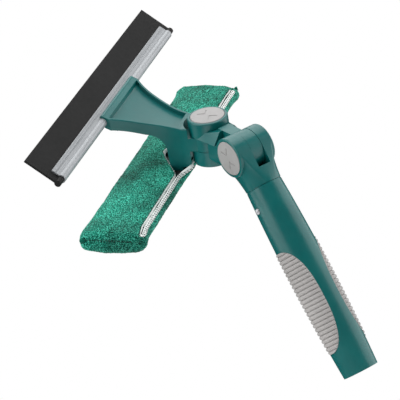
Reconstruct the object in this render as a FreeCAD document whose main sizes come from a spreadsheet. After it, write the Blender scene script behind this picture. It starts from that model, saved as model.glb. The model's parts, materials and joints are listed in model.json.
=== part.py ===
"""Window cleaning squeegee with a two-way tilting head, a rubber blade and a microfibre washer.

The handle stands along +Z with the origin at the middle of its open lower end, where an extension
pole is pushed in. Above it a forked neck carries the arm link on the handle pivot (axis X), and the
link carries the head on the swivel (an axis square to the link). Lengths are in millimetres.
"""
import FreeCAD, Part
import math
import os
from FreeCAD import Vector, Placement, Rotation

# name, value, meaning
SIZES = [
    # handle
    ("pivot_height", 198.3, "lower end of the handle to the handle pivot axis"),
    ("neck_drop", 31.4, "handle pivot axis down to the neck's shoulder"),
    ("handle_end_radius", 14.9, "outside radius at the lower end"),
    ("handle_belly_radius", 17.2, "largest outside radius"),
    ("handle_belly_height", 87.0, "height of the largest radius"),
    ("handle_top_radius", 15.25, "outside radius at the neck's shoulder"),
    ("socket_radius", 11.0, "pole socket"),
    ("socket_depth", 70.0, "pole socket"),
    ("handle_web", 4.0, "wall between the pole socket and the spigot bore"),
    ("spigot_bore_radius", 12.5, "bore for the neck's spigot"),
    ("spigot_radius", 12.4, "spigot below the neck"),
    ("spigot_length", 42.0, "spigot below the neck"),
    ("spigot_hollow_radius", 10.2, "inside of the spigot"),
    ("latch_height", 150.0, "height of the click pin"),
    ("latch_radius", 2.5, "click pin"),
    ("latch_hole_radius", 2.75, "holes for the click pin"),
    ("grip_middle", 67.5, "height of the middle of the grips"),
    ("grip_half_height", 45.0, "half of a grip's height"),
    ("grip_half_angle", 66.0, "half of the angle that a grip covers, in degrees"),
    ("grip_seat_depth", 1.3, "pocket in the handle under a grip"),
    ("grip_crest", 1.0, "rib crests above the handle's surface"),
    ("grip_valley", -0.5, "rib valleys, below the handle's surface"),
    ("grip_ribs", 26, "ribs on each grip"),
    # both pivots: levels along the axis, from the inner face of the ear that holds the button
    ("ear_radius", 16.8, "outside radius of the ears and tongues"),
    ("tongue_radius", 16.5, "outside radius of the turning tongues"),
    ("side_gap", 0.3, "clearance beside a tongue"),
    ("cup_radius", 14.6, "well that the button sits in"),
    ("button_radius", 14.3, "push button"),
    ("button_proud", 0.5, "button face above its ear"),
    ("button_plate", 2.4, "button disc"),
    ("window_wall_low", 4.4, "underside of the wall under the button"),
    ("window_wall_high", 6.2, "top of the wall under the button"),
    ("gear_low", -3.8, "lower face of the lock gear"),
    ("gear_high", 3.3, "upper face of the lock gear"),
    ("gear_web", 1.5, "top wall of the lock gear"),
    ("gear_tip", 12.2, "lock gear tooth tips"),
    ("gear_root", 11.0, "lock gear tooth roots"),
    ("ring_tip", 11.4, "teeth in the ear, inner radius"),
    ("ring_root", 12.6, "teeth in the ear, outer radius"),
    ("loose_tip", 12.5, "teeth in the tongue, inner radius"),
    ("loose_root", 13.6, "teeth in the tongue, outer radius"),
    ("lock_teeth", 20, "teeth all round, one lock position every 18 degrees"),
    ("tongue_floor", -7.6, "floor of the gear well in the tongue"),
    ("spring_radius", 7.2, "lock spring, middle of the wire"),
    ("spring_wire", 0.4, "half of the lock spring's square wire"),
    ("spring_turns", 4.5, "lock spring"),
    ("pin_radius", 3.0, "pivot pins"),
    ("pin_bore", 3.06, "bore of a tongue on its pin"),
    ("pin_head_radius", 5.5, "pivot pin heads"),
    ("pin_head_height", 2.0, "pivot pin heads"),
    ("clip_radius", 5.0, "clips that hold the pins"),
    ("clip_height", 0.8, "clips that hold the pins"),
    # handle pivot, levels along X
    ("neck_front_face", 17.25, "outer face of the ear with the button"),
    ("neck_front_gap", 5.0, "inner face of the ear with the button"),
    ("neck_rear_gap", -6.5, "inner face of the rear ear"),
    ("neck_rear_face", -17.2, "outer face of the rear ear"),
    ("neck_slot_floor", -17.5, "floor of the slot between the ears"),
    # head swivel, levels along the swivel axis
    ("link_top_face", 17.0, "outer face of the ear with the button"),
    ("link_top_gap", 3.0, "inner face of the ear with the button"),
    ("link_low_gap", -9.0, "inner face of the lower ear"),
    ("link_low_face", -22.6, "outer face of the lower ear"),
    ("link_length", 48.0, "swivel axis to handle pivot axis"),
    ("arm_half_width", 12.0, "arm of the link"),
    ("arm_top", 13.2, "arm of the link, where it meets the neck"),
    ("arm_bottom", -19.0, "arm of the link"),
    ("arm_corner", 7.0, "rounding of the arm's lower edges"),
    ("flank_half_width", 16.6, "sloping flanks above the arm, at the swivel"),
    ("flank_end_width", 14.8, "half of the same width where the flanks end"),
    ("flank_end", 26.0, "swivel axis to the end of the flanks"),
    ("sweep_radius", 17.1, "clearance around a tongue"),
    ("yoke_reach", 17.4, "reach of the neck's ears, which the link's arm stops short of"),
    ("cheek_radius", 20.6, "hollow in the head around the link's ears"),
    # head bracket
    ("head_half_width", 15.0, "bracket at the swivel"),
    ("waist_half_width", 22.4, "bracket halfway along its hollow sides"),
    ("clamp_half_width", 37.0, "bracket at the rail"),
    ("tray_rim", 2.8, "rim around the bracket's recess"),
    ("tray_depth", 3.8, "recess in the bracket"),
    ("tray_front", -71.4, "front wall of the recess"),
    ("edge_round", 1.1, "rounding of the outer edges"),
    ("seam_groove", 0.45, "groove at the seam between the neck and the handle"),
    ("post_front", -33.0, "front face of the post down to the washer"),
    ("post_foot", -27.6, "lower end of the post"),
    # blade and rail, in the blade's own plane
    ("blade_forward", 84.1, "swivel axis to the rail's front edge, level with the swivel"),
    ("blade_height", 34.7, "rail's front edge above the middle of the swivel"),
    ("blade_slope", 38.8, "slope of the blade, in degrees"),
    ("rubber_length", 280.0, "rubber blade"),
    ("rubber_reach", 21.3, "rubber in front of the rail"),
    ("rubber_half_thick", 1.0, "rubber blade"),
    ("bead_radius", 2.8, "bead along the rubber's back edge"),
    ("bead_centre", 9.7, "rail's front edge to the middle of the bead"),
    ("rail_length", 265.0, "aluminium rail"),
    ("rail_half_thick", 2.3, "jaws of the rail"),
    ("rail_half_slot", 1.05, "slot between the jaws"),
    ("rail_groove_place", 3.4, "rail's front edge to the groove in its top jaw"),
    ("rail_groove_depth", 0.3, "depth of the groove, and half its width"),
    ("rail_bore_radius", 2.9, "bore for the bead"),
    ("rail_tube_radius", 3.7, "outside of the rail around the bead"),
    # washer
    ("washer_middle", -47.0, "middle of the washer, measured from the swivel axis"),
    ("washer_level", -30.0, "mid-thickness of the washer"),
    ("bar_half_length", 128.0, "washer bar"),
    ("bar_half_width", 24.5, "washer bar"),
    ("bar_half_thick", 4.5, "washer bar"),
    ("bar_corner", 10.0, "corners of the washer bar in plan"),
    ("sleeve_half_length", 137.5, "microfibre sleeve"),
    ("sleeve_shift", -3.0, "how far the sleeve has slid along its bar"),
    ("sleeve_half_width", 28.3, "microfibre sleeve"),
    ("sleeve_half_thick", 10.0, "microfibre sleeve"),
    ("sleeve_gap", 0.3, "clearance around the washer bar"),
    ("opening_half", 27.0, "half of the sleeve's opening for the post"),
    # pose that the parts are drawn in
    ("tilt_pose", -36.0, "link about X, in degrees"),
    ("swivel_pose", 36.0, "head about the swivel axis, in degrees"),
]

document = FreeCAD.newDocument("window_squeegee")
sheet = document.addObject("Spreadsheet::Sheet", "Sizes")
for row, (alias, value, note) in enumerate(SIZES, start=1):
    sheet.set(f"A{row}", alias)
    sheet.set(f"B{row}", str(value))
    sheet.set(f"C{row}", note)
    sheet.setAlias(f"B{row}", alias)
document.recompute()

X_AXIS, Y_AXIS, Z_AXIS = Vector(1, 0, 0), Vector(0, 1, 0), Vector(0, 0, 1)
ALONG_X = Rotation(Y_AXIS, 90)   # turns a cylinder that stands along Z onto X
HUGE = 400                       # longer than the whole part
parts = []                       # finished sub-parts, in the order that they are made


def size(alias):
    return float(getattr(sheet, alias))


def cells(text):
    """An expression in which each alias of the sheet is written as a plain word."""
    aliases = {alias for alias, _, _ in SIZES}
    words = str(text).replace("+", " + ").replace("-", " - ").replace("*", " * ")
    words = words.replace("/", " / ").replace("(", " ( ").replace(")", " ) ")
    return " ".join("Sizes." + word if word in aliases else word for word in words.split())


def bind(item, **properties):
    """Binds properties of a document object to expressions of sheet cells."""
    for name, text in properties.items():
        item.setExpression(name.replace("__", "."), cells(text))
    return item


# ---------------------------------------------------------------- frames
HANDLE_FRAME = Placement()
NECK_FRAME = Placement(Vector(0, 0, size("pivot_height")), Rotation())
LINK_TURN = Placement(Vector(), Rotation(X_AXIS, size("tilt_pose")))
LINK_FRAME = NECK_FRAME * LINK_TURN * Placement(Vector(0, -size("link_length"), 0), Rotation())
HEAD_FRAME = LINK_FRAME * Placement(Vector(), Rotation(Z_AXIS, size("swivel_pose")))
BLADE_FRAME = HEAD_FRAME * Placement(Vector(0, -size("blade_forward"), size("blade_height")),
                                     Rotation(X_AXIS, -size("blade_slope")))
# a pivot's own frame has Z along its axis, towards the button
TILT_FRAME = NECK_FRAME * Placement(Vector(), Rotation(Y_AXIS, Z_AXIS, X_AXIS, "ZXY"))
SWIVEL_FRAME = LINK_FRAME


# ---------------------------------------------------------------- building blocks
def drum(radius, low, high, axis="z", **centre):
    """A cylinder from one level to another on an axis; centre gives x, y or z of the axis."""
    item = bind(document.addObject("Part::Cylinder", "drum"), Radius=radius,
                Height=f"({high})-({low})")
    if axis == "x":
        item.Placement = Placement(Vector(), ALONG_X)
    bind(item, **{f"Placement__Base__{axis}": low})
    return bind(item, **{f"Placement__Base__{name}": text for name, text in centre.items()})


def block(x_low, x_high, y_low, y_high, z_low, z_high):
    """A box between two limits along each axis."""
    item = document.addObject("Part::Box", "block")
    bind(item, Length=f"({x_high})-({x_low})", Width=f"({y_high})-({y_low})",
         Height=f"({z_high})-({z_low})")
    return bind(item, Placement__Base__x=x_low, Placement__Base__y=y_low, Placement__Base__z=z_low)


def shaped(shape, name="shape"):
    """A document object that holds a shape worked out from the sheet's values."""
    item = document.addObject("Part::Feature", name)
    item.Shape = shape
    return item


def joined(*items):
    item = document.addObject("Part::MultiFuse", "joined")
    item.Shapes = list(items)
    item.Refine = True
    return item


def less(base, *tools):
    item = document.addObject("Part::Cut", "less")
    item.Base = base
    item.Tool = tools[0] if len(tools) == 1 else joined(*tools)
    item.Refine = True
    return item


def rounded(base, radius, wanted):
    """Rounds those edges of an object that the test picks out."""
    document.recompute()
    item = document.addObject("Part::Fillet", "rounded")
    item.Base = base
    item.Edges = [(number, radius, radius) for number, edge in enumerate(base.Shape.Edges, start=1)
                  if wanted(edge)]
    return item


def is_rim(edge):
    """True for a full circle."""
    return len(edge.Vertexes) == 1 and isinstance(edge.Curve, Part.Circle)


def shared(first, second):
    item = document.addObject("Part::Common", "shared")
    item.Base = first
    item.Tool = second
    return item


def finish(item, name, frame):
    """Names a finished sub-part and puts it in its frame."""
    item.Label = name
    item.Placement = frame
    parts.append(item)
    return item


def outline(points):
    """A closed wire: a point is joined by a line, a pair of points is an arc's middle and end, and a
    list of points is a smooth curve."""
    edges, here = [], points[0]
    for step in points[1:] + [points[0]]:
        if isinstance(step, tuple):
            edges.append(Part.Arc(here, step[0], step[1]).toShape())
            here = step[1]
        elif isinstance(step, list):
            curve = Part.BSplineCurve()
            curve.interpolate([here] + step)
            edges.append(curve.toShape())
            here = step[-1]
        elif step.distanceToPoint(here) > 1e-6:
            edges.append(Part.makeLine(here, step))
            here = step
    return Part.Wire(edges)


def prism(points, run):
    return Part.Face(outline(points)).extrude(run)


def toothed_prism(tip, root, tip_half, root_half, low, high):
    """A star-shaped prism with straight-sided teeth; a ring is cut with one whose tip is outside."""
    corners = []
    count = int(size("lock_teeth"))
    for tooth in range(count):
        middle = 2 * math.pi * tooth / count
        for radius, half in ((root, -root_half), (tip, -tip_half), (tip, tip_half), (root, root_half)):
            angle = middle + half / radius
            corners.append(Vector(radius * math.cos(angle), radius * math.sin(angle), low))
    face = Part.Face(Part.makePolygon(corners + corners[:1]))
    return face.extrude(Vector(0, 0, high - low))


def sector(inner, outer, middle, half, low, high):
    """A piece of a ring, its angles in degrees."""
    ring = Part.makeCylinder(outer, high - low, Vector(0, 0, low), Z_AXIS, 2 * half)
    ring = ring.cut(Part.makeCylinder(inner, high - low, Vector(0, 0, low)))
    ring.rotate(Vector(), Z_AXIS, middle - half)
    return ring


def new_body(name):
    return document.addObject("PartDesign::Body", name)


def sketch_on(body, name, role):
    sketch = body.newObject("Sketcher::SketchObject", name)
    plane = next(item for item in body.Origin.OriginFeatures if item.Role == role)
    sketch.AttachmentSupport = [(plane, "")]
    sketch.MapMode = "FlatFace"
    return sketch


def draw(sketch, points):
    """Draws a closed outline; points as for outline(), in the sketch's own X and Y."""
    here = points[0]
    for step in points[1:] + [points[0]]:
        if isinstance(step, tuple):
            sketch.addGeometry(Part.Arc(here, step[0], step[1]), False)
            here = step[1]
        elif step.distanceToPoint(here) > 1e-6:
            sketch.addGeometry(Part.LineSegment(here, step), False)
            here = step


def pad(body, sketch, length, **flags):
    feature = body.newObject("PartDesign::Pad", "Pad")
    feature.Profile = sketch
    bind(feature, Length=length)
    for name, value in flags.items():
        setattr(feature, name, value)
    body.Tip = feature
    return feature


# ---------------------------------------------------------------- handle
def handle_radius(height, extra=0.0):
    """Outside radius of the barrel-shaped handle: an arc through its end, belly and top."""
    low = Vector(size("handle_end_radius"), 0)
    belly = Vector(size("handle_belly_radius"), size("handle_belly_height"))
    top = Vector(size("handle_top_radius"), size("pivot_height") - size("neck_drop"))
    circle = Part.Arc(low, belly, top).toShape().Curve
    return circle.Center.x + math.sqrt(circle.Radius ** 2 - (height - circle.Center.y) ** 2) + extra


def grip_window():
    """A prism along X with the grips' rounded outline, a superellipse wrapped round the handle."""
    power, count = 2.5, 24
    half_height, half_angle = size("grip_half_height"), math.radians(size("grip_half_angle"))
    points = []
    for step in range(4 * count):
        turn = 2 * math.pi * step / (4 * count)
        lift = math.copysign(abs(math.sin(turn)) ** (2 / power), math.sin(turn))
        swing = math.copysign(abs(math.cos(turn)) ** (2 / power), math.cos(turn))
        height = size("grip_middle") + half_height * lift
        points.append(Vector(0, handle_radius(height) * math.sin(half_angle * swing), height))
    curve = Part.BSplineCurve()
    curve.interpolate(points, True)
    return Part.Face(Part.Wire(curve.toShape())).extrude(Vector(HUGE, 0, 0))


def grip_seats():
    """What is cut from the handle so that both grips sit in it."""
    low, high = (size("grip_middle") + side * (size("grip_half_height") + 2) for side in (-1, 1))
    middle = (low + high) / 2
    wall = [Vector(handle_radius(height, -size("grip_seat_depth")), 0, height)
            for height in (low, middle, high)]
    edge = [wall[0], (wall[1], wall[2]), Vector(HUGE / 8, 0, high), Vector(HUGE / 8, 0, low)]
    ring = Part.Face(outline(edge)).revolve(Vector(), Z_AXIS, 360)
    seat = ring.common(grip_window())
    turned = seat.copy()
    turned.rotate(Vector(), Z_AXIS, 180)
    return [seat, turned]


def make_handle_tube():
    top = size("pivot_height") - size("neck_drop")
    body = new_body("handle_tube_blank")
    sketch = sketch_on(body, "handle_profile", "XZ_Plane")
    socket, depth = size("socket_radius"), size("socket_depth")
    bore, web, edge = size("spigot_bore_radius"), size("handle_web"), size("seam_groove")
    draw(sketch, [
        Vector(socket, 0), Vector(size("handle_end_radius"), 0),
        (Vector(size("handle_belly_radius"), size("handle_belly_height")),
         Vector(handle_radius(top - edge), top - edge)),
        Vector(size("handle_top_radius") - edge, top), Vector(bore, top), Vector(bore, depth + web),
        Vector(0, depth + web), Vector(0, depth), Vector(socket, depth)])
    turned = body.newObject("PartDesign::Revolution", "handle_turned")
    turned.Profile = sketch
    turned.ReferenceAxis = (sketch, ["V_Axis"])
    turned.Angle = 360
    body.Tip = turned
    seats = [shaped(seat, "grip_seat") for seat in grip_seats()]
    latch_hole = drum("latch_hole_radius", "0", "handle_belly_radius + 5", "x", z="latch_height")
    return finish(less(body, latch_hole, *seats), "handle_tube", HANDLE_FRAME)


def make_grips():
    """Two soft grips, ribbed all along, each in its own seat in the handle."""
    low, high = (size("grip_middle") + side * (size("grip_half_height") + 1) for side in (-1, 1))
    pitch = (high - low) / size("grip_ribs")
    seat = [Vector(handle_radius(height, -size("grip_seat_depth")), 0, height)
            for height in (low, (low + high) / 2, high)]
    edge = [seat[2], (seat[1], seat[0])]
    for rib in range(int(size("grip_ribs"))):
        start = low + rib * pitch
        edge.append(Vector(handle_radius(start, size("grip_valley")), 0, start))
        edge.append((Vector(handle_radius(start + pitch / 2, size("grip_crest")), 0, start + pitch / 2),
                     Vector(handle_radius(start + pitch, size("grip_valley")), 0, start + pitch)))
    ring = Part.Face(outline(edge)).revolve(Vector(), Z_AXIS, 360)
    grip = ring.common(grip_window()).Solids[0]
    finish(shaped(grip, "grip_left"), "grip_left", HANDLE_FRAME)
    finish(shaped(grip.copy(), "grip_right"), "grip_right", Placement(Vector(), Rotation(Z_AXIS, 180)))


# ---------------------------------------------------------------- pivots
def button_well(gap, face):
    """What a button ear loses to its button, its lock gear and the pin, in the pivot's frame."""
    ring = toothed_prism(size("ring_root"), size("ring_tip"), 0.85, 1.35,
                         size(gap) - 1, size(gap) + size("window_wall_low"))
    bore = drum("ring_tip", f"{gap}-1", f"{gap}+window_wall_low")
    mouth = drum("ring_root+0.3", f"{gap}-1", f"{gap}+0.4")
    cup = drum("cup_radius", f"{gap}+window_wall_high", f"{face}+5")
    pin = drum("pin_radius", f"{gap}", f"{face}")
    windows = [shaped(sector(6.0, 9.0, angle, 24, size(gap) + size("window_wall_low") - 1,
                             size(gap) + size("window_wall_high") + 1), "leg_window")
               for angle in (0, 120, 240)]
    return [shaped(ring, "ear_teeth"), bore, mouth, cup, pin] + windows


def tongue_well(gap):
    """The lock gear's well and the pin bore in a turning tongue, in the pivot's frame."""
    ring = toothed_prism(size("loose_root"), size("loose_tip"), 0.85, 1.35,
                         size(gap) + size("tongue_floor"), size(gap) + 1)
    bore = drum("loose_tip", f"{gap}+tongue_floor", f"{gap}+1")
    return [shaped(ring, "tongue_teeth"), bore, drum("pin_bore", "-40", "40")]


def pin_well(low_gap, low_face):
    """The pin's bore and head recess in the ear opposite the button, in the pivot's frame."""
    return [drum("pin_radius", f"{low_face}-5", f"{low_gap}+1"),
            drum("pin_head_radius+0.1", f"{low_face}-5", f"{low_face}+0.4+pin_head_height")]


def make_pivot_hardware(prefix, gap, face, low_face, frame):
    """Button, lock gear, lock spring, pin and clip of one pivot."""
    # pin with a flat head, and the clip that holds it under the button
    clip_level = f"{gap}+window_wall_high"
    pin = joined(drum("pin_head_radius", f"{low_face}+0.4", f"{low_face}+0.4+pin_head_height"),
                 drum("pin_radius", f"{low_face}+1", f"{clip_level}+clip_height+0.8"))
    finish(pin, prefix + "_pin", frame)
    clip = less(drum("clip_radius", clip_level, f"{clip_level}+clip_height"),
                drum("pin_radius", clip_level, f"{clip_level}+clip_height"))
    finish(clip, prefix + "_clip", frame)

    # lock gear, open below for the spring
    low, high = size(gap) + size("gear_low"), size(gap) + size("gear_high")
    teeth = shaped(toothed_prism(size("gear_tip"), size("gear_root"), 0.55, 1.0, low, high), "teeth")
    gear = less(teeth, drum("9.2", f"{gap}+gear_low-1", f"{gap}+gear_high-gear_web"),
                drum("pin_radius+1", f"{gap}+gear_low", f"{gap}+gear_high+1"))
    finish(gear, prefix + "_lock_gear", frame)

    # button: dished disc, three legs with barbs that catch under the window wall
    top = f"{face}+button_proud"
    plate = rounded(drum("button_radius", f"{top}-button_plate", top), 0.7,
                    lambda edge: is_rim(edge) and edge.CenterOfMass.z > size(face))
    legs = []
    for angle in (0, 120, 240):
        legs.append(sector(6.5, 8.5, angle, 18, high, size(face) - 1.2))
        legs.append(sector(6.5, 9.5, angle, 12, high, high + 0.9))
    legs = [shaped(leg, "button_leg") for leg in legs]
    relief = drum("clip_radius+0.8", f"{top}-button_plate-1", f"{top}-1.2")
    finish(less(joined(plate, *legs), relief, *button_mark(face)), prefix + "_button", frame)

    # lock spring of flat wire, between the tongue's floor and the gear
    wire, middle = size("spring_wire"), size("spring_radius")
    bottom = size(gap) + size("tongue_floor") + wire + 0.05
    length = high - size("gear_web") - wire - 0.05 - bottom
    helix = Part.makeLongHelix(length / size("spring_turns"), length, middle)
    corners = [Vector(middle + side * wire, 0, up * wire)
               for side, up in ((-1, -1), (1, -1), (1, 1), (-1, 1), (-1, -1))]
    coil = Part.Wire(helix.Edges).makePipeShell([Part.makePolygon(corners)], True, True)
    finish(shaped(coil, prefix + "_lock_spring"), prefix + "_lock_spring",
           frame * Placement(Vector(0, 0, bottom), Rotation()))


def button_mark(face):
    """Two shallow chevrons that point at the button's middle, in place of any word."""
    level = size(face) + size("button_proud") - 0.35
    marks = []
    for side in (-1, 1):
        tip, arm, stroke = 2.2 * side, 4.6, 1.5 * side
        points = [Vector(-arm, tip + arm * side, level), Vector(0, tip, level),
                  Vector(arm, tip + arm * side, level), Vector(arm, tip + arm * side + stroke, level),
                  Vector(0, tip + stroke, level), Vector(-arm, tip + arm * side + stroke, level)]
        marks.append(shaped(prism(points, Vector(0, 0, 2)), "button_chevron"))
    return marks


def turned_onto_x(items):
    """Puts pieces drawn in a pivot's frame into the neck's or the link's frame, along X."""
    turn = Rotation(Y_AXIS, Z_AXIS, X_AXIS, "ZXY")
    group = joined(*items)
    group.Placement = Placement(Vector(), turn)
    return group


# ---------------------------------------------------------------- neck
def make_neck_fork():
    """Fork with two ears, a shoulder that turns round towards the handle, and a hollow spigot."""
    drop, front, rear = size("neck_drop"), size("neck_front_face"), size("neck_rear_face")
    radius, depth = size("handle_top_radius"), size("ear_radius")
    corner, crease = 1.5, math.radians(71)
    top, bottom = [], []
    for side_x, side_y, face in ((1, 1, front), (-1, 1, -rear), (-1, -1, -rear), (1, -1, front)):
        ends = [Vector(side_x * face, side_y * (depth - corner), 0),
                Vector(side_x * (face - corner), side_y * depth, 0)]
        middle = Vector(side_x * (face - 0.3 * corner), side_y * (depth - 0.3 * corner), 0)
        angles = [crease - 0.07, crease, crease + 0.07]
        ring = [Vector(side_x * radius * math.cos(a), side_y * radius * math.sin(a), -drop)
                for a in angles]
        if side_x * side_y < 0:
            ends.reverse()
            ring.reverse()
        top.append((ends[0], middle, ends[1]))
        bottom.append((ring[0], ring[1], ring[2]))
    top_edges, bottom_edges = [], []
    for here, after in zip(range(4), (1, 2, 3, 0)):
        top_edges += [Part.Arc(*top[here]).toShape(), Part.makeLine(top[here][2], top[after][0])]
        start, stop = bottom[here][2], bottom[after][0]
        middle = (start + stop) * 0.5
        middle = Vector(middle.x, middle.y, 0).normalize() * radius + Vector(0, 0, -drop)
        bottom_edges += [Part.Arc(*bottom[here]).toShape(), Part.Arc(start, middle, stop).toShape()]
    shoulder = shaped(Part.makeLoft([Part.Wire(top_edges), Part.Wire(bottom_edges)], True, True),
                      "shoulder")
    ears = rounded(drum("ear_radius", "neck_rear_face", "neck_front_face", "x"), size("edge_round"),
                   is_rim)
    solid = joined(shoulder, ears, drum("spigot_radius", "-neck_drop-spigot_length", "-neck_drop+2"))
    groove = less(drum("handle_top_radius+5", "-neck_drop-0.1", "-neck_drop+seam_groove"),
                  drum("handle_top_radius-seam_groove", "-neck_drop-0.1", "-neck_drop+seam_groove"))
    slot = block("neck_rear_gap", "neck_front_gap", "-40", "40", "neck_slot_floor", "60")
    hollow = drum("spigot_hollow_radius", "-neck_drop-spigot_length-1", "-neck_drop-2")
    latch_hole = drum("latch_hole_radius", "0", "30", "x", z="latch_height-pivot_height")
    wells = turned_onto_x(button_well("neck_front_gap", "neck_front_face")
                          + pin_well("neck_rear_gap", "neck_rear_face"))
    finish(less(solid, slot, hollow, latch_hole, groove, wells), "neck_fork", NECK_FRAME)


def make_latch():
    """Click pin and its bent spring strip, inside the spigot."""
    flange_low, flange_high, tip_round = 8.0, 9.2, 1.9
    tip = round(handle_radius(size("latch_height"), 1.9), 2)
    pin = joined(drum("3.6", str(flange_low), str(flange_high), "x", z="latch_height"),
                 drum("latch_radius", str(flange_low + 0.5), str(tip), "x", z="latch_height"))
    pin = rounded(pin, tip_round, lambda edge: edge.BoundBox.XMin > tip - 0.1)
    finish(pin, "click_pin", HANDLE_FRAME)

    strip, width, bend = 0.6, 6.0, 4.0
    height, foot = size("latch_height"), size("latch_height") - 16
    body = new_body("click_spring")
    sketch = sketch_on(body, "spring_profile", "XZ_Plane")
    inner, back = flange_low - 0.05, -9.3
    draw(sketch, [
        Vector(inner, height + 5), Vector(inner - strip, height + 5),
        Vector(inner - strip - 3, foot), (Vector((inner - 3 + back) / 2, foot - bend + strip),
                                          Vector(back + strip, foot)),
        Vector(back + strip, height + 6), Vector(back, height + 6), Vector(back, foot),
        (Vector((inner - 3 + back) / 2, foot - bend), Vector(inner - 3, foot))])
    pad(body, sketch, str(width), Midplane=True)
    finish(body, "click_spring", HANDLE_FRAME)


# ---------------------------------------------------------------- link
def make_link_arm():
    """Short arm: a fork for the head's tongue at one end, a tongue for the neck at the other."""
    wide, low, round_ = (size(name) for name in ("arm_half_width", "arm_bottom", "arm_corner"))
    bow = round_ * (1 - math.sqrt(0.5))
    reach, ledge = size("link_length") - 4, size("link_top_gap")
    arm = shaped(prism([
        Vector(wide, 0, ledge), Vector(-wide, 0, ledge), Vector(-wide, 0, low + round_),
        (Vector(bow - wide, 0, low + bow), Vector(round_ - wide, 0, low)), Vector(wide - round_, 0, low),
        (Vector(wide - bow, 0, low + bow), Vector(wide, 0, low + round_))], Vector(0, reach, 0)), "arm")
    # the flanks start steep and low beside the swivel, and lean in as they rise to the neck
    ends = []
    for place, half, top_half, top in ((0, size("flank_half_width"), size("flank_half_width") - 0.6, 6.4),
                                       (size("flank_end"), size("flank_end_width"), 7.6, size("arm_top"))):
        corners = [Vector(half, place, ledge), Vector(top_half, place, top),
                   Vector(-top_half, place, top), Vector(-half, place, ledge)]
        ends.append(Part.makePolygon(corners + corners[:1]))
    flanks = shaped(Part.makeLoft(ends, True, True), "flanks")
    beside = [block("neck_front_gap-side_gap", "60", "link_length-yoke_reach", "60", "-60", "60"),
              block("-60", "neck_rear_gap+side_gap", "link_length-yoke_reach", "60", "-60", "60"),
              block("-60", "60", "link_length-yoke_reach", "60", "-60", "neck_slot_floor+side_gap")]
    tongue = drum("tongue_radius", "neck_rear_gap+side_gap", "neck_front_gap-side_gap", "x",
                  y="link_length")
    web = block("neck_rear_gap+side_gap", "neck_front_gap-side_gap", "flank_end-6", "link_length",
                "arm_bottom/2", "arm_top")
    ears = rounded(drum("ear_radius", "link_low_face", "link_top_face"), size("edge_round"), is_rim)
    slot = drum("sweep_radius", "link_low_gap", "link_top_gap")
    tilt_well = turned_onto_x(tongue_well("neck_front_gap"))
    bind(tilt_well, Placement__Base__y="link_length")
    solid = joined(less(joined(ears, arm, flanks), slot, *beside), tongue, web)
    wells = button_well("link_top_gap", "link_top_face") + pin_well("link_low_gap", "link_low_face")
    finish(less(solid, tilt_well, *wells), "link_arm", LINK_FRAME)


# ---------------------------------------------------------------- head
CLAMP_SCREWS = (-18.0, 18.0)     # places along the rail
CLAMP_SCREW_LINE = 18.5          # behind the rail's front edge
BAR_SCREWS = (-9.0, 9.0)         # places along the washer bar
BAR_SCREW_LINE = -28.0           # behind the swivel axis


def blade_point(forward, up):
    """A point of the blade's section, given in its own plane, as Y and Z of the head's frame."""
    slope = math.radians(size("blade_slope"))
    return Vector(0, -size("blade_forward") + forward * math.cos(slope) + up * math.sin(slope),
                  size("blade_height") - forward * math.sin(slope) + up * math.cos(slope))


def tray_outline(inset, front, back, level, corner):
    """Plan of the bracket: wide at the rail, drawn in with hollow sides to the swivel."""
    clamp, waist = size("clamp_half_width") - inset, size("head_half_width") - inset
    bow = corner * (1 - math.sqrt(0.5))
    hollow = [Vector(28.9 - inset, -60.3, level), Vector(size("waist_half_width") - inset, -47.5, level),
              Vector(17.3 - inset, -34.5, level), Vector(waist, -21, level)]
    side = [Vector(clamp, front + corner, level), Vector(clamp, -70.5, level), hollow,
            Vector(waist, back, level)]
    mirrored = [Vector(-point.x, point.y, point.z) for point in (hollow + side[1:2])]
    turn_back = [mirrored[2], mirrored[1], mirrored[0], mirrored[4]]
    other = [Vector(-waist, back, level), mirrored[3], turn_back, Vector(-clamp, front + corner, level)]
    if corner:
        other += [(Vector(bow - clamp, front + bow, level), Vector(corner - clamp, front, level)),
                  Vector(clamp - corner, front, level), (Vector(clamp - bow, front + bow, level), side[0])]
    return side + other


def tray_top(drop):
    """Top line of the bracket in the YZ plane, from the rail back to the swivel."""
    return [Vector(0, -70.5, 31.3 - drop),
            (Vector(0, -45, 19.6 - drop), Vector(0, -20, 11.6 - drop)), Vector(0, -5, 11.6 - drop)]


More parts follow.
